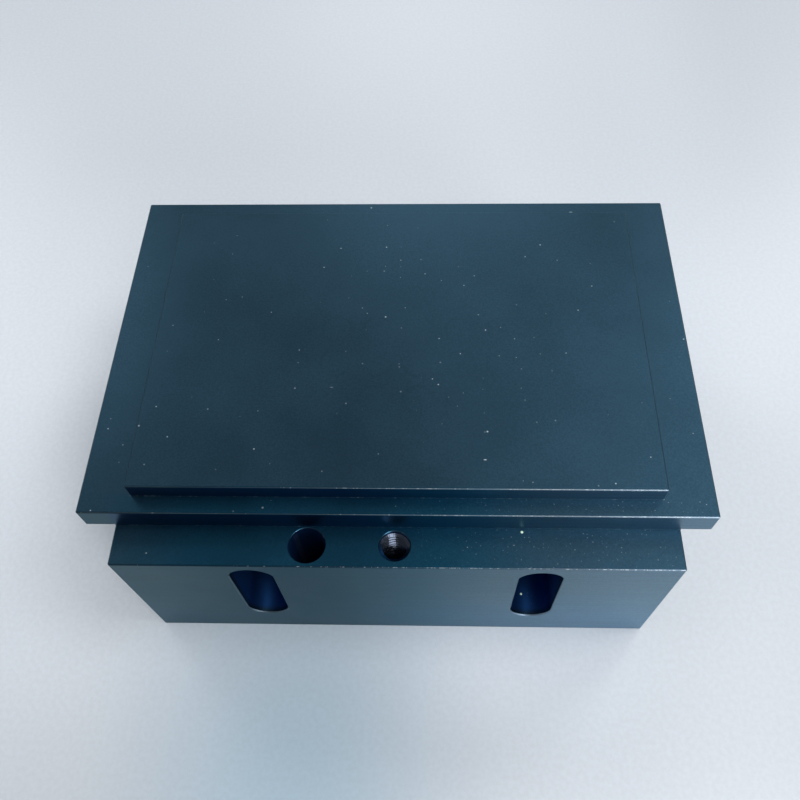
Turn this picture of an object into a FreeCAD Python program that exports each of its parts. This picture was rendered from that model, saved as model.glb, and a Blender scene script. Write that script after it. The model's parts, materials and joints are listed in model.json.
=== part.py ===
"""Heat block insert: one machined aluminium block that carries a flat-bottom well plate in a dry bath.

The block is a deep base, a wider flange on top of it, and a low platform on the flange.  The base stands
out in front of the flange as a ledge, which holds a probe bore and a tapped lifting hole.  Two upright
round-ended slots are milled into the base's front face.

Millimetres.  +X runs along the block, +Y from its front to its back, +Z up.  The origin is at the centre
of the underside of the block's overall box.
"""

import FreeCAD, Part

import math
import os

import Sketcher

NODE = "heat_block"

# Driving sizes: alias, value, what it is.  The sheet below works out the rest from them.
SIZES = [
    ("flange_width", 127.8, "flange, left to right"),
    ("flange_depth", 84.0, "flange, front to back"),
    ("flange_thickness", 6.1, "flange, underside to top"),
    ("flange_overhang", 6.2, "flange past the base on each side"),
    ("platform_side_inset", 10.4, "platform in from the flange's sides"),
    ("platform_front_inset", 3.8, "platform in from the flange's front"),
    ("platform_back_inset", 7.1, "platform in from the flange's back"),
    ("platform_height", 4.2, "platform above the flange"),
    ("base_height", 41.7, "base, underside to ledge"),
    ("probe_bore", 7.5, "diameter of the probe bore"),
    ("probe_front_wall", 0.85, "metal between the probe bore and the front face"),
    ("probe_flange_gap", 0.3, "ledge between the probe bore and the flange"),
    ("probe_slot_wall", 3.75, "metal between the probe bore and the slot beside it"),
    ("probe_floor", 5.7, "metal under the probe bore's straight wall"),
    ("lift_thread", 6.35, "outer diameter of the lifting hole's thread"),
    ("thread_height", 0.62, "radial height of that thread"),
    ("lift_thread_length", 16.0, "threaded length below the ledge"),
    ("lift_drill_runout", 4.0, "tap drill past the thread"),
    ("drill_point_angle", 118.0, "full angle of a drill's point, degrees"),
    ("mouth_break", 0.15, "countersink round each hole's mouth"),
    ("slot_offset", 29.85, "slot's centre from the block's centre"),
    ("slot_width", 9.1, "slot, left to right"),
    ("slot_foot", 9.9, "metal below each slot"),
    ("slot_head", 2.5, "metal between each slot and the ledge"),
    ("slot_depth", 16.0, "slot, front to back"),
    ("edge_break", 0.25, "chamfer on the block's outer edges"),
]

# Sizes that follow from the driving ones.
DERIVED = [
    ("ledge_depth", "probe_front_wall + probe_bore + probe_flange_gap"),
    ("base_width", "flange_width - 2 * flange_overhang"),
    ("base_depth", "ledge_depth + flange_depth"),
    ("flange_front", "ledge_depth - base_depth / 2"),
    ("flange_top", "base_height + flange_thickness"),
    ("platform_width", "flange_width - 2 * platform_side_inset"),
    ("platform_depth", "flange_depth - platform_front_inset - platform_back_inset"),
    ("platform_front", "flange_front + platform_front_inset"),
    ("hole_line", "probe_front_wall + probe_bore / 2 - base_depth / 2"),
    ("probe_x", "probe_bore / 2 + probe_slot_wall + slot_width / 2 - slot_offset"),
    ("probe_depth", "base_height - probe_floor"),
    ("lift_drill", "lift_thread - 2 * thread_height"),
    ("lift_drill_depth", "lift_thread_length + lift_drill_runout"),
    ("slot_height", "base_height - slot_foot - slot_head"),
]


def make_sheet(doc):
    """The table of sizes: one row each for the alias, the value or formula, and its meaning."""
    sheet = doc.addObject("Spreadsheet::Sheet", "Sizes")
    rows = [(alias, str(value), note) for alias, value, note in SIZES]
    rows += [(alias, "=" + formula, "") for alias, formula in DERIVED]
    for row, (alias, content, note) in enumerate(rows, start=1):
        sheet.set(f"A{row}", alias)
        sheet.set(f"B{row}", content)
        sheet.set(f"C{row}", note)
        sheet.setAlias(f"B{row}", alias)
        # Formulas name cells above them, so the sheet is kept up to date as it grows.
        doc.recompute()
    return sheet


def origin_plane(body, role):
    """One of the body's own origin planes."""
    return next(feature for feature in body.Origin.OriginFeatures if feature.Role == role)


def add_sketch(body, name, role, offset=None):
    """An empty sketch on one of the body's origin planes, moved along its normal by a sheet formula."""
    sketch = body.newObject("Sketcher::SketchObject", name)
    sketch.AttachmentSupport = [(origin_plane(body, role), "")]
    sketch.MapMode = "FlatFace"
    if offset:
        sketch.setExpression("AttachmentOffset.Base.z", offset)
    return sketch


def add_constraint(sketch, name, formula, *constraint):
    """A named dimension of a sketch, bound to a sheet formula."""
    index = sketch.addConstraint(Sketcher.Constraint(*constraint))
    sketch.renameConstraint(index, name)
    sketch.setExpression(f"Constraints.{name}", formula)


def draw_rectangle(sketch, width, depth, front):
    """A rectangle centred on the sketch's vertical axis, with its front edge at the given place."""
    corners = [(-10, -10), (10, -10), (10, 10), (-10, 10)]
    points = [FreeCAD.Vector(x, y, 0) for x, y in corners]
    for start, end in zip(points, points[1:] + points[:1]):
        sketch.addGeometry(Part.LineSegment(start, end), False)
    for line in range(4):
        sketch.addConstraint(Sketcher.Constraint("Coincident", line, 2, (line + 1) % 4, 1))
    # The symmetry also keeps the front line level.
    sketch.addConstraint(Sketcher.Constraint("Symmetric", 0, 1, 0, 2, -2))
    for line, direction in ((1, "Vertical"), (2, "Horizontal"), (3, "Vertical")):
        sketch.addConstraint(Sketcher.Constraint(direction, line))
    add_constraint(sketch, "Width", width, "DistanceX", 0, 1, 0, 2, 20)
    add_constraint(sketch, "Depth", depth, "DistanceY", 1, 1, 1, 2, 20)
    add_constraint(sketch, "Front", front, "DistanceY", -1, 1, 0, 1, -10)


def draw_upright_slot(sketch, width, height, centre_x, foot):
    """An upright slot with round ends: two straight sides, and a half circle at each end."""
    radius, low, high = 3, 5, 15
    axis = FreeCAD.Vector(0, 0, 1)
    top = Part.Circle(FreeCAD.Vector(0, high, 0), axis, radius)
    bottom = Part.Circle(FreeCAD.Vector(0, low, 0), axis, radius)
    sketch.addGeometry(Part.ArcOfCircle(top, 0, math.pi), False)
    sketch.addGeometry(
        Part.LineSegment(FreeCAD.Vector(-radius, high, 0), FreeCAD.Vector(-radius, low, 0)), False
    )
    sketch.addGeometry(Part.ArcOfCircle(bottom, math.pi, 2 * math.pi), False)
    sketch.addGeometry(
        Part.LineSegment(FreeCAD.Vector(radius, low, 0), FreeCAD.Vector(radius, high, 0)), False
    )
    # Each arc's end meets the next side smoothly; an arc runs from its point 1 to its point 2.
    for first, second in ((0, 1), (1, 2), (2, 3), (3, 0)):
        sketch.addConstraint(Sketcher.Constraint("Tangent", first, 2, second, 1))
    sketch.addConstraint(Sketcher.Constraint("Vertical", 1))
    sketch.addConstraint(Sketcher.Constraint("Equal", 0, 2))
    add_constraint(sketch, "Radius", f"{width} / 2", "Radius", 0, radius)
    add_constraint(sketch, "CentreX", centre_x, "DistanceX", -1, 1, 2, 3, 1)
    add_constraint(sketch, "LowCentre", f"{foot} + {width} / 2", "DistanceY", -1, 1, 2, 3, low)
    add_constraint(sketch, "Span", f"{height} - {width}", "DistanceY", 2, 3, 0, 3, high - low)


def add_block(body, name, bottom, height, width, depth, front):
    """A rectangular block of the body, padded up from the given height."""
    sketch = add_sketch(body, f"{name}Outline", "XY_Plane", bottom)
    draw_rectangle(sketch, width, depth, front)
    pad = body.newObject("PartDesign::Pad", name)
    pad.Profile = sketch
    pad.setExpression("Length", height)
    sketch.Visibility = False
    return pad


def add_slots(body):
    """The two upright slots in the front face: one pocket and its mirror image."""
    sketch = add_sketch(body, "SlotOutline", "XZ_Plane", "Sizes.base_depth / 2")
    draw_upright_slot(
        sketch, "Sizes.slot_width", "Sizes.slot_height", "Sizes.slot_offset", "Sizes.slot_foot"
    )
    pocket = body.newObject("PartDesign::Pocket", "Slot")
    pocket.Profile = sketch
    pocket.setExpression("Length", "Sizes.slot_depth")
    sketch.Visibility = False
    mirror = body.newObject("PartDesign::Mirrored", "SlotPair")
    mirror.Originals = [pocket]
    mirror.MirrorPlane = (origin_plane(body, "YZ_Plane"), [""])
    body.Tip = mirror
    return mirror


def outer_edges(shape, wanted):
    """The names of the shape's sharp outside edges whose middle point is a wanted one."""
    step = 0.05
    names = []
    for index, edge in enumerate(shape.Edges, start=1):
        middle = edge.valueAt((edge.FirstParameter + edge.LastParameter) / 2)
        first, second = (
            face.normalAt(*face.Surface.parameter(middle))
            for face in shape.ancestorsOfType(edge, Part.Face)
        )
        smooth = first.cross(second).Length < 0.1
        # A step off the first face and back behind the second leaves the metal only at an outside edge.
        outside = not shape.isInside(middle + (first - second) * step, step / 10, False)
        if outside and not smooth and wanted(middle):
            names.append(f"Edge{index}")
    return names


def add_edge_breaks(body, feature, sheet):
    """A small chamfer on every outside edge: the flange's underside last, so that its corners close."""

    def on_underside(point):
        level = math.isclose(point.z, sheet.base_height, abs_tol=0.001)
        return level and abs(point.x) > sheet.base_width / 2

    for name, wanted in (
        ("EdgeBreak", lambda point: not on_underside(point)),
        ("UndersideBreak", on_underside),
    ):
        chamfer = body.newObject("PartDesign::Chamfer", name)
        chamfer.Base = (feature, outer_edges(feature.Shape, wanted))
        chamfer.setExpression("Size", "Sizes.edge_break")
        body.Document.recompute()
        feature = chamfer


def add_hole(body, name, centre_x, diameter, depth, pointed, countersunk):
    """A blind hole straight down from the ledge, on the line that both holes share."""
    sketch = add_sketch(body, f"{name}Centre", "XY_Plane", "Sizes.base_height")
    sketch.addGeometry(Part.Circle(FreeCAD.Vector(-1, -1, 0), FreeCAD.Vector(0, 0, 1), 1), False)
    add_constraint(sketch, "Diameter", diameter, "Diameter", 0, 2)
    add_constraint(sketch, "CentreX", centre_x, "DistanceX", -1, 1, 0, 3, -1)
    add_constraint(sketch, "CentreY", "Sizes.hole_line", "DistanceY", -1, 1, 0, 3, -1)
    body.Document.recompute()
    hole = body.newObject("PartDesign::Hole", name)
    hole.Profile = sketch
    hole.DepthType = "Dimension"
    hole.DrillPoint = "Angled" if pointed else "Flat"
    if countersunk:
        hole.HoleCutType = "Countersink"
        hole.HoleCutCustomValues = True
        hole.HoleCutCountersinkAngle = 90
        hole.setExpression("HoleCutDiameter", f"{diameter} + 2 * Sizes.mouth_break")
    hole.setExpression("Diameter", diameter)
    hole.setExpression("Depth", depth)
    if pointed:
        hole.setExpression("DrillPointAngle", "Sizes.drill_point_angle")
    sketch.Visibility = False
    body.Document.recompute()
    return hole


def make_heat_block(doc, sheet):
    """The whole block: three stacked pads, the slots, the edge breaks and the holes in the ledge."""
    body = doc.addObject("PartDesign::Body", "HeatBlock")
    body.Label = NODE
    add_block(
        body, "Base", None, "Sizes.base_height",
        "Sizes.base_width", "Sizes.base_depth", "-Sizes.base_depth / 2",
    )
    add_block(
        body, "Flange", "Sizes.base_height", "Sizes.flange_thickness",
        "Sizes.flange_width", "Sizes.flange_depth", "Sizes.flange_front",
    )
    add_block(
        body, "Platform", "Sizes.flange_top", "Sizes.platform_height",
        "Sizes.platform_width", "Sizes.platform_depth", "Sizes.platform_front",
    )
    slots = add_slots(body)
    doc.recompute()
    add_edge_breaks(body, slots, sheet)
    add_hole(body, "ProbeBore", "Sizes.probe_x", "Sizes.probe_bore", "Sizes.probe_depth", True, True)
    add_hole(body, "LiftDrill", "0", "Sizes.lift_drill", "Sizes.lift_drill_depth", True, False)
    body.Tip = add_hole(
        body, "LiftThread", "0", "Sizes.lift_thread", "Sizes.lift_thread_length", False, True
    )
    doc.recompute()
    return body


def check(doc, bodies):
    """Stop if any object of the document failed, or a body is empty, broken or in pieces."""
    for item in doc.Objects:
        if {"Invalid", "Error"} & set(item.State):
            raise RuntimeError(f"{item.Label} did not build: {item.State}")
    for body in bodies:
        if body.Shape.isNull() or not body.Shape.isValid() or len(body.Shape.Solids) != 1:
            raise RuntimeError(f"{body.Label} is not one valid solid")


def check_cuts(body):
    """Stop if a pocket, mirror, chamfer or hole took nothing away."""
    cuts = ("PartDesign::Pocket", "PartDesign::Mirrored", "PartDesign::Chamfer", "PartDesign::Hole")
    for feature in body.Group:
        if feature.TypeId in cuts and feature.Shape.Volume >= feature.BaseFeature.Shape.Volume:
            raise RuntimeError(f"{feature.Label} cut nothing")


def main():
    doc = FreeCAD.newDocument("HeatBlockInsert")
    sheet = make_sheet(doc)
    body = make_heat_block(doc, sheet)
    check(doc, [body])
    check_cuts(body)
    os.makedirs("parts", exist_ok=True)
    body.Shape.exportStep(f"parts/{NODE}.step")
    box = body.Shape.BoundBox
    print(f"{NODE}: {box.XLength:.2f} x {box.YLength:.2f} x {box.ZLength:.2f} mm, "
          f"{body.Shape.Volume / 1000:.1f} cm3, {len(body.Shape.Faces)} faces")


main()
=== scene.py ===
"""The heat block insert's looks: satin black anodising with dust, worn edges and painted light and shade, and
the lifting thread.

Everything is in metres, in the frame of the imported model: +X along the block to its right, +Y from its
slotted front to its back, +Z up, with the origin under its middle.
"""

import json
import math
from collections import namedtuple

import bpy
from mathutils import Matrix, Vector


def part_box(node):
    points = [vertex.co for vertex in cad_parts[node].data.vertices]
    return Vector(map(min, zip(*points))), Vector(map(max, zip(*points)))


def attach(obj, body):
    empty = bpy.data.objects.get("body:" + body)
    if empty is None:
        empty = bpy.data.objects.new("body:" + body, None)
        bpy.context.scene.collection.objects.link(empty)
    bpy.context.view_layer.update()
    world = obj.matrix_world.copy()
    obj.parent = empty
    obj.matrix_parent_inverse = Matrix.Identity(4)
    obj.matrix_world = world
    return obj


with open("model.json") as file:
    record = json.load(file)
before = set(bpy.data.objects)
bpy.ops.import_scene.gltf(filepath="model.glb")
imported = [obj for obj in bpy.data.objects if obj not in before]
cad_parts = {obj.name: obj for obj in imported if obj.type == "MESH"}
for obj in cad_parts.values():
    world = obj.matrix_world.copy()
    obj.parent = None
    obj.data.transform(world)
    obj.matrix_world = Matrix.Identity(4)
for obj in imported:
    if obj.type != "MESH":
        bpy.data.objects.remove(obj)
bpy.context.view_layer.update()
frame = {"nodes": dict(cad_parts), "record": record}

MM = 0.001

# --- the block's places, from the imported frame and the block's own sizes ----------------------------------

BLOCK = "heat_block"
block_low, block_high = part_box(BLOCK)
mounts = {mount["name"]: mount for mount in frame["record"]["mounts"]}
LIFT_MOUTH = Vector(mounts["lift_hole"]["pos_m"])
THREAD_RADIUS = mounts["lift_hole"]["dims"]["r_mm"] * MM
THREAD_LENGTH = mounts["lift_hole"]["dims"]["length_mm"] * MM

EDGE_BREAK = 0.25 * MM  # on the outer edges
MOUTH_BREAK = 0.15 * MM  # round the holes
BREAK_NORMAL = math.sqrt(0.5)  # each part of a 45 degree break's normal
LEDGE_DEPTH = 8.65 * MM  # the ledge is the base's narrow top before the flange
FLANGE_OVERHANG = 6.2 * MM
PLATFORM_FRONT_INSET = 3.8 * MM
PLATFORM_SIDE_INSET = 10.4 * MM

PLATFORM_TOP = block_high.z
FLANGE_TOP = mounts["flange_top"]["pos_m"][2]
LEDGE_TOP = LIFT_MOUTH.z + MOUTH_BREAK
BASE_FRONT = block_low.y
FLANGE_FRONT = BASE_FRONT + LEDGE_DEPTH
PLATFORM_FRONT = FLANGE_FRONT + PLATFORM_FRONT_INSET
BASE_HALF = block_high.x - FLANGE_OVERHANG
PLATFORM_HALF = block_high.x - PLATFORM_SIDE_INSET
OPENINGS_HALF = 40 * MM  # the slots and holes lie within this of the block's middle


# --- node helpers ---------------------------------------------------------------------------------------

Axes = namedtuple("Axes", "x y z")
COLOUR_SOCKETS = (0, 6, 7)  # a Mix node's factor and its two colours


class Nodes:
    """A short way to write a node tree. Every value is a number, a colour, a vector or a socket."""

    def __init__(self, tree):
        self.tree = tree
        tree.nodes.clear()

    def add(self, kind, settings=None, **inputs):
        """A node of that kind, with its inputs given by name, with underscores for spaces."""
        node = self.tree.nodes.new(kind)
        for key, value in (settings or {}).items():
            setattr(node, key, value)
        for key, value in inputs.items():
            self.feed(node.inputs[key.replace("_", " ")], value)
        return node

    def feed(self, socket, value):
        """Links a socket to the input, or sets any other value on it."""
        if isinstance(value, bpy.types.NodeSocket):
            self.tree.links.new(value, socket)
        else:
            socket.default_value = value

    def feed_all(self, sockets, values):
        for socket, value in zip(sockets, values):
            self.feed(socket, value)

    def math(self, operation, *values):
        node = self.add("ShaderNodeMath", {"operation": operation})
        self.feed_all(node.inputs, values)
        return node.outputs[0]

    def product(self, first, *others):
        """All the values multiplied."""
        for value in others:
            first = self.math("MULTIPLY", first, value)
        return first

    def most(self, first, *others):
        """The largest of the values."""
        for value in others:
            first = self.math("MAXIMUM", first, value)
        return first

    def apart(self, value, other):
        """How far the two values are apart."""
        return self.math("ABSOLUTE", self.math("SUBTRACT", value, other))

    def vector(self, operation, *values):
        node = self.add("ShaderNodeVectorMath", {"operation": operation})
        self.feed_all(node.inputs, values)
        return node.outputs[0]

    def length(self, vector):
        return self.add("ShaderNodeVectorMath", {"operation": "LENGTH"}, Vector=vector).outputs["Value"]

    def scale(self, vector, factor):
        """The vector or colour times a number."""
        node = self.add("ShaderNodeVectorMath", {"operation": "SCALE"}, Vector=vector, Scale=factor)
        return node.outputs[0]

    def axes(self, vector):
        """The vector's parts along X, Y and Z."""
        return Axes(*self.add("ShaderNodeSeparateXYZ", Vector=vector).outputs)

    def ramp(self, value, start, end, low=0.0, high=1.0, smooth=True):
        """The value mapped from start..end to low..high, held at both ends."""
        node = self.add("ShaderNodeMapRange", {"interpolation_type": "SMOOTHSTEP" if smooth else "LINEAR"})
        self.feed_all(node.inputs, (value, start, end, low, high))
        return node.outputs[0]

    def mix(self, factor, first, second):
        """Colour first where the factor is 0, second where it is 1."""
        node = self.add("ShaderNodeMix", {"data_type": "RGBA"})
        self.feed_all([node.inputs[index] for index in COLOUR_SOCKETS], (factor, first, second))
        return node.outputs[2]

    def noise(self, place, scale, detail, roughness):
        node = self.add("ShaderNodeTexNoise", Vector=place, Scale=scale, Detail=detail, Roughness=roughness)
        return node.outputs[0]

    def place(self):
        """The shading point in the object's own frame, in metres."""
        return self.add("ShaderNodeTexCoord").outputs["Object"]

    def away(self, place, centre, reach):
        """How far the point is from the centre in plan: 1 at the first reach along X, the second along Y."""
        offset = self.vector("SUBTRACT", place, centre)
        return self.length(self.vector("MULTIPLY", offset, (1 / reach[0], 1 / reach[1], 0)))


def new_material(name):
    material = bpy.data.materials.new(name)
    material.use_nodes = True
    return material, Nodes(material.node_tree)


# The noises' scale per metre, detail and roughness, and the span that holds nearly all their values.
CORNER_DUST_NOISE = (1400, 3.0, 0.7)
WEAR_PATCH_NOISE = (80, 2.0, 0.5)
WEAR_DASH_NOISE = (2600, 2.0, 0.6)
RUBBED_RING_NOISE = (130, 2.0, 0.5)
CLOUD_NOISE = (55, 3.0, 0.6)
SPECKLE_NOISE = (2600, 2.0, 0.7)
CUTTER_NOISE = (3200, 3.0, 0.7)
GRAIN_NOISE = (3500, 2.0, 0.6)
THREAD_SHADE_NOISE = (1200, 3.0, 0.6)
THREAD_BUMP_NOISE = (700, 1.0, 0.5)
FLOOR_NOISE = (900, 3.0, 0.6)
NOISE_SPAN = (0.3, 0.7)


# --- where a point of the block lies ----------------------------------------------------------------------
# In these functions place is the point, at is the same point split into its axes, facing is its normal
# split into its axes, and each result is 1 where the words hold and 0 elsewhere.

NORMAL_SLACK = 0.1  # how far a part of a normal may be from the one that is meant


def in_openings_zone(n, at):
    """On the middle stretch of the block, where the slots and holes are."""
    return n.math("LESS_THAN", n.apart(at.x, 0.0), OPENINGS_HALF)


def looks_front(n, facing):
    return n.math("LESS_THAN", facing.y, -0.5)


def near_line(n, at, y, z, half_length, reach):
    """On the line along X at that Y and Z, fading out over the reach, and not past the line's two ends."""
    away = n.math("ADD", n.apart(at.y, y), n.apart(at.z, z))
    close = n.ramp(away, 0.3 * reach, reach, 1.0, 0.0)
    return n.product(close, n.math("LESS_THAN", n.apart(at.x, 0.0), half_length))


def inside_walls(n, at):
    """On the walls of the slots and bores, and not on the outside faces."""
    inward = n.ramp(at.y, BASE_FRONT + 0.2 * MM, BASE_FRONT + 2 * MM)
    forward = n.math("LESS_THAN", at.y, 0.0)
    below_ledge = n.math("LESS_THAN", at.z, LEDGE_TOP - 0.3 * MM)
    above_foot = n.math("GREATER_THAN", at.z, 3 * MM)
    return n.product(inward, forward, below_ledge, above_foot, in_openings_zone(n, at))


# --- dust, crumbs and painted grain glints ----------------------------------------------------------------

# the colour of the dust, and of the painted glints of the blasted grain
DUST_AND_GLINT_COLOUR = (0.40, 0.48, 0.53, 1)
CRUMB = (0.80, 0.98, 0.82, 1)
DUST_HOLDS = (0.9, 0.98)  # the upward part of the normal, from where dust starts to stay to where all does

# Layers of specks: the random grid's cell, the largest speck's radius, and the share of cells with a speck.
FINE_DUST = (3.6 * MM, 0.19 * MM, 0.11)
COARSE_DUST = (9 * MM, 0.27 * MM, 0.16)
LINT = (9 * MM, 0.17 * MM, 0.16)
LINT_STRETCH = (0.35, 1, 1)  # below 1 draws the specks out along that axis
LINT_TURN = 0.5
THICK_DUST = (4.2 * MM, 0.22 * MM, 0.36)
THICK_CENTRE = (6 * MM, 2 * MM, 0)
THICK_CORE = 10 * MM
THICK_REACH = 32 * MM
# painted glints of the blasted grain: fine pale specks fading in towards the right of the steps
GRAIN_GLINTS = (0.9 * MM, 0.13 * MM, 0.28)
GRAIN_GLINTS_START = -10 * MM
GRAIN_GLINTS_FULL = 25 * MM
GRAIN_GLINTS_STRENGTH = 0.35
UPPER_CORNER_REACH = 0.15 * MM
LOWER_CORNER_REACH = 0.12 * MM
LOWER_CORNER_STRENGTH = 0.5
CRUMBS = (  # the larger crumbs, on the ledge and in the right slot: place and radius in millimetres
    ((25.7, -38.55, 41.7), 0.34),
    ((28.36, -41.34, 10.14), 0.32),
)


def specks(n, place, cell, radius, share, stretch=(1, 1, 1), turn=0.0):
    """A 0 to 1 mask in plan of small round or drawn-out specks: one in some cells of a random grid."""
    mapped = n.add("ShaderNodeMapping", Vector=place, Scale=stretch, Rotation=(0, 0, turn)).outputs[0]
    settings = {"voronoi_dimensions": "2D", "feature": "F1", "distance": "EUCLIDEAN"}
    grid = n.add("ShaderNodeTexVoronoi", settings, Vector=mapped, Scale=1 / cell, Randomness=1.0)
    kept_by, size_by, strength_by = n.add("ShaderNodeSeparateColor", Color=grid.outputs["Color"]).outputs
    kept = n.math("LESS_THAN", kept_by, share)
    size = n.product(n.ramp(size_by, 0, 1, 0.4, 1.0), radius / cell)
    inward = n.math("SUBTRACT", 1.0, n.math("DIVIDE", grid.outputs["Distance"], size))
    strength = n.ramp(strength_by, 0, 1, 0.25, 1.0)
    return n.product(kept, n.ramp(inward, 0.0, 0.5), strength)


def corner_dust(n, place, at):
    """Dust caught in the two inner corners, at the feet of the platform's front and the flange's front."""
    upper = near_line(n, at, PLATFORM_FRONT, FLANGE_TOP, PLATFORM_HALF, UPPER_CORNER_REACH)
    lower = near_line(n, at, FLANGE_FRONT, LEDGE_TOP, BASE_HALF, LOWER_CORNER_REACH)
    broken = n.ramp(n.noise(place, *CORNER_DUST_NOISE), 0.50, 0.72, 0.03, 0.45)
    return n.product(n.most(upper, n.product(lower, LOWER_CORNER_STRENGTH)), broken)


def dust_and_glints(n, place, at, facing):
    """Dust and lint, sparse on every face that looks up and thicker in one patch right of the middle, with
    painted glints of the blasted grain as fine specks on the right of the steps before the platform, and dust
    in the steps' inner corners."""
    away = n.away(place, THICK_CENTRE, (THICK_REACH, THICK_REACH))
    in_patch = n.ramp(away, THICK_CORE / THICK_REACH, 1.0, 1.0, 0.0)
    on_steps = n.math("LESS_THAN", at.y, PLATFORM_FRONT)
    to_right = n.ramp(at.x, GRAIN_GLINTS_START, GRAIN_GLINTS_FULL)
    loose_dust_and_glints = n.most(
        specks(n, place, *FINE_DUST),
        specks(n, place, *COARSE_DUST),
        specks(n, place, *LINT, LINT_STRETCH, LINT_TURN),
        n.product(specks(n, place, *THICK_DUST), in_patch),
        # painted glints of the blasted grain
        n.product(specks(n, place, *GRAIN_GLINTS), on_steps, to_right, GRAIN_GLINTS_STRENGTH),
    )
    loose_dust_and_glints = n.product(loose_dust_and_glints, n.ramp(facing.z, *DUST_HOLDS))
    return n.most(loose_dust_and_glints, corner_dust(n, place, at))


def large_crumbs(n, place):
    """The larger crumbs, as round spots at their places."""
    spots = 0.0
    for centre, radius in CRUMBS:
        offset = n.vector("SUBTRACT", place, tuple(value * MM for value in centre))
        spots = n.most(spots, n.ramp(n.length(offset), 0.6 * radius * MM, radius * MM, 1.0, 0.0))
    return spots


# --- worn edges and painted edge highlights ---------------------------------------------------------------

BARE_METAL_AND_HIGHLIGHT = (0.62, 0.70, 0.74, 1)  # the metal where the film is worn off, also the painted highlight on the edge breaks
PATCHES = 0.06  # how much the patches of more and of less wear add or take
DASH_DRAW = (0.8, 1, 0.3)  # below 1 draws the dashes out along that axis
DASH_STRENGTH = 0.85
DASH_LEFT, DASH_RIGHT = 0.66, 0.50  # the noise has to pass this for a dash, which makes them rarer leftward; the rise to the right is painted highlight
HIGHLIGHT_LINE_LEFT, HIGHLIGHT_LINE_RIGHT = 0.15, 0.50  # the painted highlight line's strength
LEDGE_HIGHLIGHT_LINE = 0.3  # and how much of that painted highlight the ledge's front edge has
BACK_WEAR_AND_HIGHLIGHT = 0.10  # the share of the wear and painted highlight on the side and back edges
RIM_SIDES_HIGHLIGHT, RIM_BOTTOM_HIGHLIGHT = 0.08, 0.16  # the painted highlight on the rims of the slots


def slot_rim_highlights(n, at, facing):
    """Painted highlight on the edge breaks around the slots' mouths: bright along the bottom arc, faint up
    the sides.
    """
    on_break = n.math("COMPARE", facing.y, -BREAK_NORMAL, NORMAL_SLACK)
    below_ledge = n.math("LESS_THAN", at.z, LEDGE_TOP - 1 * MM)
    not_down = n.math("GREATER_THAN", facing.z, -NORMAL_SLACK)
    # painted highlight, brightest where the rim faces up
    polish = n.ramp(facing.z, 0.0, 0.6, RIM_SIDES_HIGHLIGHT, RIM_BOTTOM_HIGHLIGHT)
    return n.product(on_break, below_ledge, in_openings_zone(n, at), not_down, polish)


def wear_and_highlight(n, place, at, facing):
    """Bare metal on the edge breaks: dashes of wear over a thin painted highlight line, both stronger to the
    right and most in front, along the middle of the breaks that look up, and the painted highlight on the
    slots' rims."""
    up_break = n.math("COMPARE", facing.z, BREAK_NORMAL, NORMAL_SLACK)
    along_x = n.math("GREATER_THAN", n.apart(facing.y, 0.0), 0.3)
    at_side = n.math("GREATER_THAN", n.apart(at.x, 0.0), 50 * MM)
    on_break = n.product(up_break, n.most(along_x, at_side))
    off_line = 1.0
    for level in (PLATFORM_TOP, FLANGE_TOP, LEDGE_TOP):
        off_line = n.math("MINIMUM", off_line, n.apart(at.z, level - 0.5 * EDGE_BREAK))
    thin = n.ramp(off_line, 0.10 * EDGE_BREAK, 0.30 * EDGE_BREAK, 1.0, 0.0)
    in_front = n.ramp(facing.y, -0.6, 0.0, 1.0, BACK_WEAR_AND_HIGHLIGHT)

    patches = n.ramp(n.noise(place, *WEAR_PATCH_NOISE), *NOISE_SPAN, -PATCHES, PATCHES)
    drawn = n.noise(n.vector("MULTIPLY", place, DASH_DRAW), *WEAR_DASH_NOISE)
    threshold = n.ramp(at.x, -40 * MM, 30 * MM, DASH_LEFT, DASH_RIGHT)
    past = n.math("SUBTRACT", n.math("ADD", drawn, patches), threshold)
    dashes = n.ramp(past, 0.0, 0.10, 0.0, DASH_STRENGTH)
    # painted highlight: a thin pale line along the edge breaks, stronger to the right
    highlight_line = n.product(
        n.ramp(at.z, 43 * MM, 45 * MM, LEDGE_HIGHLIGHT_LINE, 1.0),
        n.ramp(at.x, -30 * MM, 25 * MM, HIGHLIGHT_LINE_LEFT, HIGHLIGHT_LINE_RIGHT),
        n.ramp(patches, -PATCHES, PATCHES, 0.6, 1.0),
    )
    worn_and_highlight = n.product(n.most(dashes, highlight_line), on_break, in_front, thin)
    return n.most(worn_and_highlight, slot_rim_highlights(n, at, facing))


# --- the anodised film, with painted light and shade ------------------------------------------------------

ANODISE = (0.0215, 0.0525, 0.0810, 1)  # what the dyed film reflects head on
ANODISE_GLANCING = (0.85, 1.0, 1.0, 1)  # its tint at a glancing angle
RIGHT_END_PAINTED_LIGHT = (0.125, 0.190, 0.265, 1)  # painted light: the slotted side's colour at its right end, lit paler
RECESS_PAINTED_SHADE_NAVY = (0.018, 0.085, 0.270, 1)  # painted shade: the navy of the shaded walls of the slots and bores
MIDDLE_PAINTED_SHADE_TINT = (0.60, 0.93, 1.02)  # painted shade: the slotted side midway between the slots, darker and bluer against the film beside them
LOW_PAINTED_REFLECTION_TINT = (1.02, 1.13, 1.24)  # painted reflection of the floor: lighter and bluer low on the slotted side
STEPS_PAINTED_SHADE_TINT = (0.42, 1.00, 1.15)  # painted shade: darker and bluer on the steps before the platform
RISERS_PAINTED_SHADE_TINT = (0.95, 0.85, 1.35)  # and a bluer painted shade on the left half of their upright faces
CLOUD_RANGE = (0.96, 1.05)
SPECKLE_RANGE = (0.90, 1.12)
CUTTER_SQUEEZE = (0.01, 0.01, 1)  # draws the noise out into level lines
CUTTER_DEPTH = 0.09
PAINTED_SHADE_CENTRE = -24 * MM  # painted shade: the slotted side is a little darker about here
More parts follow.
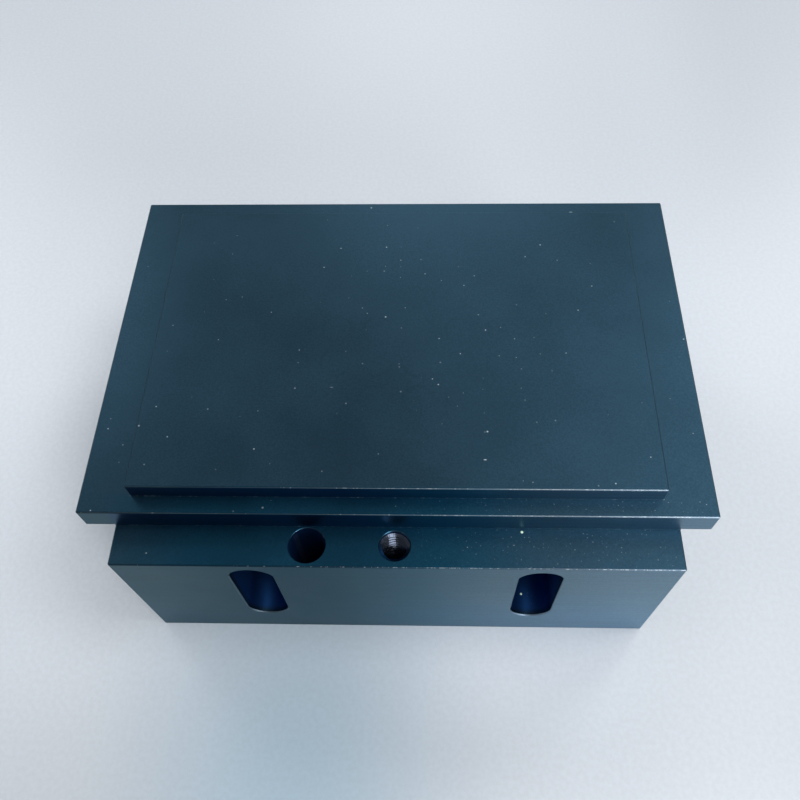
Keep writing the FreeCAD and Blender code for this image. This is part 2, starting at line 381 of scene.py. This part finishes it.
PAINTED_SHADE_REACH = 35 * MM
PAINTED_SHADE_BY = 0.16
WELL_PITCH = 9 * MM  # wells of the plates that stand on the platform
WELL_RADIUS = 3.2 * MM
WELL_MARKS_REACH = (34 * MM, 22 * MM)
WELL_MARKS_DEPTH = 0.05
POLISH_RANGE = (0.36, 0.40)  # the film's roughness
DUST_ROUGHENS = 0.4
WALLS_ROUGHEN = 0.06


def well_marks(n, place, at):
    """Faint rings at the plate's well pitch, rubbed into the middle of the platform."""
    squares = []
    for value in (at.x, at.y):
        in_cell = n.math("SUBTRACT", n.math("FRACT", n.math("DIVIDE", value, WELL_PITCH)), 0.5)
        squares.append(n.math("POWER", n.product(in_cell, WELL_PITCH), 2))
    radius = n.math("SQRT", n.math("ADD", *squares))
    ring = n.ramp(n.apart(radius, WELL_RADIUS), 0.1 * MM, 0.6 * MM, 1.0, 0.0)
    middle = n.ramp(n.away(place, (0, 0, 0), WELL_MARKS_REACH), 0.4, 1.0, 1.0, 0.0)
    on_top = n.math("GREATER_THAN", at.z, PLATFORM_TOP - 0.1 * MM)
    rubbed = n.ramp(n.noise(place, *RUBBED_RING_NOISE), 0.42, 0.62)
    return n.product(ring, middle, on_top, rubbed)


def film_tone_and_painted_shade(n, place, at, facing, cloud):
    """The film's uneven strength: clouds, fine speckle, cutter lines on the upright faces, faint rings on
    the platform, and a painted shade that darkens a stretch of the slotted side."""
    speckle = n.ramp(n.noise(place, *SPECKLE_NOISE), *NOISE_SPAN, *SPECKLE_RANGE)
    lines = n.noise(n.vector("MULTIPLY", place, CUTTER_SQUEEZE), *CUTTER_NOISE)
    upright = n.math("LESS_THAN", n.apart(facing.z, 0.0), NORMAL_SLACK)
    cutter = n.product(n.ramp(lines, *NOISE_SPAN, -CUTTER_DEPTH, CUTTER_DEPTH), upright)
    rings = n.product(well_marks(n, place, at), WELL_MARKS_DEPTH)
    # painted shade on the slotted side's front faces
    painted_shade = n.ramp(n.apart(at.x, PAINTED_SHADE_CENTRE), 0.0, PAINTED_SHADE_REACH, PAINTED_SHADE_BY, 0.0)
    painted_shade = n.product(painted_shade, looks_front(n, facing))
    return n.product(
        cloud,
        speckle,
        n.math("ADD", 1.0, cutter),
        n.math("SUBTRACT", 1.0, rings),
        n.math("SUBTRACT", 1.0, painted_shade),
    )


def tinted(n, film, where, tint):
    """The film's colour, times the tint where the mask is 1."""
    return n.mix(where, film, n.vector("MULTIPLY", film, tint))


def film_colour_with_painted_light(n, at, facing, tone_with_painted_light_and_shade, inside):
    """The film's colour, with painted light and shade. The slotted side is painted lighter to the right,
    lighter and bluer low down, and darker and bluer in its middle. The steps have a bluer painted shade, most
    on the left of their upright faces, and the slots and bores a navy painted shade."""
    front = looks_front(n, facing)
    # painted light: the slotted side paler to the right, most low down, where the floor's light is reflected
    rightward = n.ramp(at.x, -15 * MM, 57 * MM, smooth=False)
    painted_light_right = n.product(rightward, n.ramp(at.z, 5 * MM, 40 * MM, 1.15, 0.95), front)
    film = n.scale(n.mix(painted_light_right, ANODISE, RIGHT_END_PAINTED_LIGHT), tone_with_painted_light_and_shade)
    # painted shade: darker and bluer midway between the slots
    middle = n.ramp(n.apart(at.x, -12 * MM), 8 * MM, 36 * MM, 1.0, 0.0)
    film = tinted(n, film, n.product(middle, front), MIDDLE_PAINTED_SHADE_TINT)
    # painted reflection of the floor, low on the slotted side
    low_down = n.ramp(at.z, 5 * MM, 32 * MM, 1.0, 0.0)
    film = tinted(n, film, n.product(low_down, front), LOW_PAINTED_REFLECTION_TINT)

    # painted shade on the steps before the platform, most on the left of their upright faces
    above = n.math("GREATER_THAN", at.z, LEDGE_TOP - EDGE_BREAK)
    before = n.math("LESS_THAN", at.y, PLATFORM_FRONT + 0.3 * MM)
    central = n.ramp(n.apart(at.x, -15 * MM), 22 * MM, 50 * MM, 1.0, 0.0)
    film = tinted(n, film, n.product(above, before, central), STEPS_PAINTED_SHADE_TINT)
    straight_ahead = n.math("LESS_THAN", facing.y, -0.95)
    off_left_end = n.ramp(at.x, -59 * MM, -56 * MM)
    leftward = n.ramp(at.x, -14 * MM, 10 * MM, 1.0, 0.0)
    film = tinted(n, film, n.product(straight_ahead, above, off_left_end, leftward), RISERS_PAINTED_SHADE_TINT)
    # painted shade: navy on the walls of the slots and bores
    return n.mix(inside, film, RECESS_PAINTED_SHADE_NAVY)


def metal(n, colour, roughness, bump):
    """The shader of a metal with that colour, roughness and bump, as the material's surface."""
    shader = n.add(
        "ShaderNodeBsdfPrincipled",
        Base_Color=colour, Roughness=roughness, Normal=bump.outputs[0],
    )
    shader.inputs["Metallic"].default_value = 1.0
    n.add("ShaderNodeOutputMaterial", Surface=shader.outputs[0])
    return shader


def anodised_material():
    """Satin black anodising: cloudy sheen, blasted grain, cutter lines, dust and bare worn edges, with
    painted light, shade, highlights and glints.
    """
    material, n = new_material("anodised_satin_black")
    place = n.place()
    at = n.axes(place)
    facing = n.axes(n.add("ShaderNodeNewGeometry").outputs["True Normal"])

    cloud = n.ramp(n.noise(place, *CLOUD_NOISE), *NOISE_SPAN, *CLOUD_RANGE)
    settled_dust_and_glints = dust_and_glints(n, place, at, facing)
    spots = large_crumbs(n, place)
    inside = inside_walls(n, at)
    film = film_colour_with_painted_light(n, at, facing, film_tone_and_painted_shade(n, place, at, facing, cloud), inside)
    colour = n.mix(settled_dust_and_glints, film, DUST_AND_GLINT_COLOUR)
    colour = n.mix(wear_and_highlight(n, place, at, facing), colour, BARE_METAL_AND_HIGHLIGHT)
    colour = n.mix(spots, colour, CRUMB)

    polish = n.ramp(cloud, *CLOUD_RANGE, *POLISH_RANGE, smooth=False)
    roughness = n.math("ADD", polish, n.product(n.most(settled_dust_and_glints, spots), DUST_ROUGHENS))
    roughness = n.math("ADD", roughness, n.product(inside, WALLS_ROUGHEN))
    grain = n.add("ShaderNodeBump", Height=n.noise(place, *GRAIN_NOISE), Strength=0.05, Distance=0.02 * MM)
    shader = metal(n, colour, roughness, grain)
    shader.inputs["Specular Tint"].default_value = ANODISE_GLANCING
    return material


# --- the lifting hole's thread ----------------------------------------------------------------------------

THREAD_PITCH = 25.4 * MM / 20  # the quarter-inch, 20-turn thread
THREAD_DEPTH = 0.62 * MM
THREAD_BITE = 0.01 * MM  # how far the ridge's root goes into the bore's wall
HALF_CREST = 0.156  # in pitches, as is the half root: a 60 degree form cut to the tap drill
HALF_ROOT = 0.4375
STEPS_PER_TURN = 48
RIDGE = (  # the ridge's section, from its lower root round its crest: radius, and height in pitches
    (THREAD_RADIUS + THREAD_BITE, -HALF_ROOT),
    (THREAD_RADIUS - THREAD_DEPTH, -HALF_CREST),
    (THREAD_RADIUS - THREAD_DEPTH, HALF_CREST),
    (THREAD_RADIUS + THREAD_BITE, HALF_ROOT),
)
THREAD_DARK = (0.040, 0.052, 0.085, 1)
THREAD_PALE = (0.115, 0.135, 0.175, 1)
THREAD_POLISH = (0.12, 0.20)  # its roughness


def thread_material():
    """The anodised thread: dark, smoother than the faces, a little uneven along each turn."""
    material, n = new_material("anodised_thread")
    place = n.place()
    shade = n.noise(place, *THREAD_SHADE_NOISE)
    height = n.noise(place, *THREAD_BUMP_NOISE)
    rubbed = n.add("ShaderNodeBump", Height=height, Strength=0.4, Distance=0.1 * MM)
    colour = n.mix(shade, THREAD_DARK, THREAD_PALE)
    metal(n, colour, n.ramp(shade, *NOISE_SPAN, *THREAD_POLISH), rubbed)
    return material


def ridge_corners(step):
    """The corners of the ridge's section, at that step down the bore."""
    angle = 2 * math.pi * step / STEPS_PER_TURN
    middle = LIFT_MOUTH.z - THREAD_PITCH * (0.5 + step / STEPS_PER_TURN)
    for radius, height in RIDGE:
        yield (
            LIFT_MOUTH.x + radius * math.cos(angle),
            LIFT_MOUTH.y - radius * math.sin(angle),
            middle + height * THREAD_PITCH,
        )


def lift_thread(material):
    """The thread turns: one right-handed ridge wound down the bore, closed at both ends."""
    steps = int((THREAD_LENGTH / THREAD_PITCH - 1) * STEPS_PER_TURN)
    vertices = [corner for step in range(steps + 1) for corner in ridge_corners(step)]
    size = len(RIDGE)
    faces = []
    for first in range(0, steps * size, size):
        for side in range(size):
            after = (side + 1) % size
            faces.append((first + side, first + size + side, first + size + after, first + after))
    faces.append(tuple(range(size)))
    faces.append(tuple(steps * size + side for side in reversed(range(size))))
    mesh = bpy.data.meshes.new("lift_thread")
    mesh.from_pydata(vertices, [], faces)
    mesh.materials.append(material)
    piece = bpy.data.objects.new("lift_thread", mesh)
    bpy.context.collection.objects.link(piece)
    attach(piece, "root")


# --- the floor --------------------------------------------------------------------------------------------

FLOOR_REACH = 3.0
FLOOR_COLOUR = (0.530, 0.568, 0.615, 1)
FLOOR_ROUGHNESS = 0.32
FLOOR_SPECULAR = 0.35
# painted shadow on the floor before the block's left half: its colour, centre and reach
FLOOR_PAINTED_SHADOW_COLOUR = (0.335, 0.430, 0.505, 1)
FLOOR_PAINTED_SHADOW_CENTRE = (-24 * MM, -85 * MM, 0)
FLOOR_PAINTED_SHADOW_REACH = (45 * MM, 75 * MM)
FLOOR_PAINTED_LIGHT_PATCHES = (  # painted light and shade: the centre and the reach in plan in millimetres, and the level there
    ((24, -53), (44, 27), 1.20),
    ((-78, -104), (60, 55), 0.76),
    ((10, 140), (90, 70), 0.95),
    ((95, -78), (45, 45), 0.91),
)


def floor_material():
    """Pale board with a faint random mottle, and painted light and shade on it: a painted shadow before the
    block's left half and to the front left of it, painted light close before its right half, and gentler
    painted light and shade further out."""
    material, n = new_material("pale_floor")
    place = n.place()
    at = n.axes(place)
    # painted light and shade: lighter to the left, darker to the far right and to the back, with a faint
    # random mottle
    tone_with_painted_light_and_shade = n.product(
        n.ramp(at.x, -110 * MM, 60 * MM, 1.06, 1.0),
        n.ramp(at.x, 80 * MM, 125 * MM, 1.0, 0.93),
        n.ramp(at.y, 30 * MM, 120 * MM, 1.0, 0.92),
        n.ramp(n.noise(place, *FLOOR_NOISE), *NOISE_SPAN, 0.97, 1.03),
    )
    for (x, y), (reach_x, reach_y), level in FLOOR_PAINTED_LIGHT_PATCHES:
        away = n.away(place, (x * MM, y * MM, 0), (reach_x * MM, reach_y * MM))
        tone_with_painted_light_and_shade = n.product(tone_with_painted_light_and_shade, n.ramp(away, 0.0, 1.0, level, 1.0))
    # painted shadow before the block's left half
    painted_shadow = n.ramp(n.away(place, FLOOR_PAINTED_SHADOW_CENTRE, FLOOR_PAINTED_SHADOW_REACH), 0.0, 1.2, 1.0, 0.0)
    colour = n.scale(n.mix(painted_shadow, FLOOR_COLOUR, FLOOR_PAINTED_SHADOW_COLOUR), tone_with_painted_light_and_shade)
    shader = n.add("ShaderNodeBsdfPrincipled", Base_Color=colour)
    shader.inputs["Roughness"].default_value = FLOOR_ROUGHNESS
    shader.inputs["Specular IOR Level"].default_value = FLOOR_SPECULAR
    n.add("ShaderNodeOutputMaterial", Surface=shader.outputs[0])
    return material


def add_floor():
    mesh = bpy.data.meshes.new("floor")
    corners = [(-1, -1, 0), (1, -1, 0), (1, 1, 0), (-1, 1, 0)]
    mesh.from_pydata([Vector(corner) * FLOOR_REACH for corner in corners], [], [(0, 1, 2, 3)])
    mesh.materials.append(floor_material())
    floor = bpy.data.objects.new("floor", mesh)
    bpy.context.collection.objects.link(floor)


# --- light and camera -------------------------------------------------------------------------------------

LAMP_AIM = Vector((0, 0, 30 * MM))
LAMP_DISTANCE = 1.3
LAMPS = (  # name, degrees round from +X, degrees up, power in watts and diameter
    ("back_right", 45, 38, 3.8, 0.5),
    ("back", 90, 38, 2.0, 0.5),
    ("back_left", 135, 38, 2.5, 0.5),
    ("high_right", 0, 62, 5.0, 0.5),
    ("high_back_right", 60, 62, 0.8, 0.5),
    ("high_left", 180, 62, 0.8, 0.5),
    ("high_front_right", 310, 66, 3.5, 0.36),
    ("high_front", 301, 54, 3.6, 0.60),
    ("low_front_right", 305, 20, 5.5, 0.5),
)
WORLD_COLOUR = (0.75, 0.78, 0.82, 1)
WORLD_STRENGTH = 0.30
CAMERA_PLACE = (7.5 * MM, -100.48 * MM, 197.07 * MM)
CAMERA_DOWN, CAMERA_LEFT, CAMERA_TILT = 59.05, 3.39, -2.69  # degrees
CAMERA_LENS = 36.57  # millimetres, as is the sensor
CAMERA_SENSOR = 36
CAMERA_SHIFT = -0.0097
CAMERA_CLIP = 0.01


def add_lamps():
    """Round soft lamps about the block, strongest on its right and front right."""
    for name, turn, height, power, size in LAMPS:
        light = bpy.data.lights.new(name, "AREA")
        light.shape = "DISK"
        light.size = size
        light.energy = power
        lamp = bpy.data.objects.new(name, light)
        bpy.context.collection.objects.link(lamp)
        turn, height = math.radians(turn), math.radians(height)
        flat = LAMP_DISTANCE * math.cos(height)
        lamp.location = (flat * math.cos(turn), flat * math.sin(turn), LAMP_DISTANCE * math.sin(height))
        lamp.rotation_euler = (LAMP_AIM - lamp.location).to_track_quat("-Z", "Y").to_euler()


def add_world():
    """A dim, even light from all around."""
    world = bpy.data.worlds.new("studio")
    bpy.context.scene.world = world
    world.use_nodes = True
    n = Nodes(world.node_tree)
    back = n.add("ShaderNodeBackground", Color=WORLD_COLOUR, Strength=WORLD_STRENGTH)
    n.add("ShaderNodeOutputWorld", Surface=back.outputs[0])


def add_camera():
    """The camera close in front and above, turned a little left and tilted, as the picture was taken."""
    data = bpy.data.cameras.new("camera")
    data.sensor_width = CAMERA_SENSOR
    data.lens = CAMERA_LENS
    data.shift_x = CAMERA_SHIFT
    data.clip_start = CAMERA_CLIP
    camera = bpy.data.objects.new("camera", data)
    bpy.context.collection.objects.link(camera)
    turn = (
        Matrix.Rotation(math.radians(CAMERA_LEFT), 4, "Z")
        @ Matrix.Rotation(math.radians(90 - CAMERA_DOWN), 4, "X")
        @ Matrix.Rotation(math.radians(CAMERA_TILT), 4, "Z")
    )
    camera.matrix_world = Matrix.Translation(CAMERA_PLACE) @ turn
    bpy.context.scene.camera = camera


bpy.context.scene.view_settings.view_transform = "Standard"
block = frame["nodes"][BLOCK]
block.data.materials.clear()
block.data.materials.append(anodised_material())
lift_thread(thread_material())
add_floor()
add_lamps()
add_world()
add_camera()
